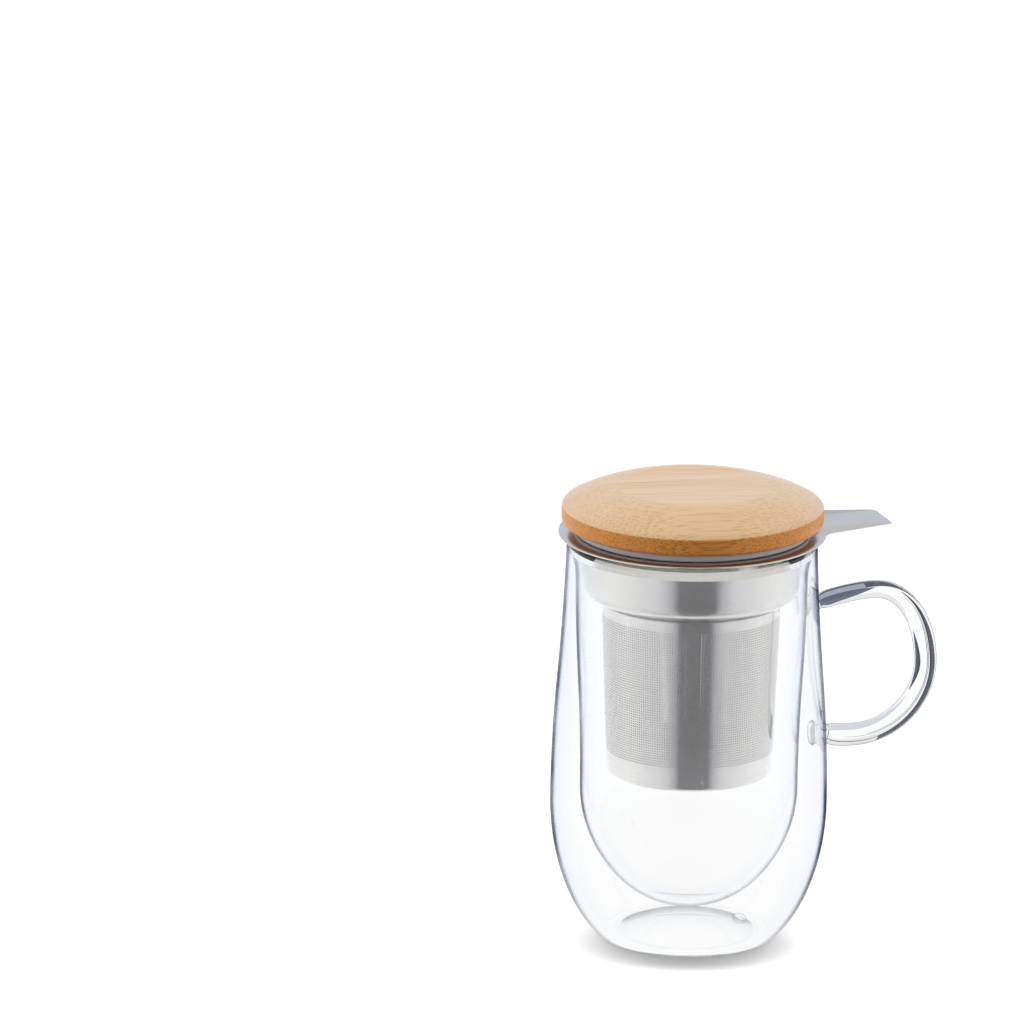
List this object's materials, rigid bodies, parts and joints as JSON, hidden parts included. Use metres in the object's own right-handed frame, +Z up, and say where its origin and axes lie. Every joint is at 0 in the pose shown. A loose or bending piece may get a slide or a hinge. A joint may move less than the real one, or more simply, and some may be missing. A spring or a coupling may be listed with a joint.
{
  "type": "lidded glass tea cup with infuser",
  "caption": "Double-walled glass tea cup with a loop handle, a lift-out perforated steel infuser hung on the rim by its flange, and a lift-off bamboo lid with a silicone seal.",
  "frame": {"origin": "centre of the cup's foot ring, on the surface that it stands on", "axes": "+Z up along the cup's axis, +X towards the handle and the infuser's tab, +Y completing the right-handed frame"},
  "size_m": [0.13, 0.09, 0.1513],
  "materials": {
    "clear_glass": "clear blown borosilicate glass, polished",
    "polished_steel": "polished stainless steel sheet, finely perforated in the basket",
    "bamboo": "turned laminated bamboo, oiled",
    "silicone": "translucent grey-white silicone, satin"
  },
  "bodies": {
    "cup": {"outer_glass": "clear_glass", "inner_glass": "clear_glass", "vent_seal": "clear_glass", "handle": "clear_glass"},
    "infuser": {"infuser_collar": "polished_steel", "infuser_basket": "polished_steel", "infuser_base": "polished_steel"},
    "lid": {"lid_cap": "bamboo", "lid_seal": "silicone", "lid_pan": "polished_steel"}
  },
  "joints": [
    {"name": "infuser_lift", "type": "slide", "parent": "cup", "child": "infuser", "axis": [0, 0, 1], "range_m": [0, 0.105]},
    {"name": "lid_lift", "type": "slide", "parent": "infuser", "child": "lid", "axis": [0, 0, 1], "range_m": [0, 0.036]}
  ]
}
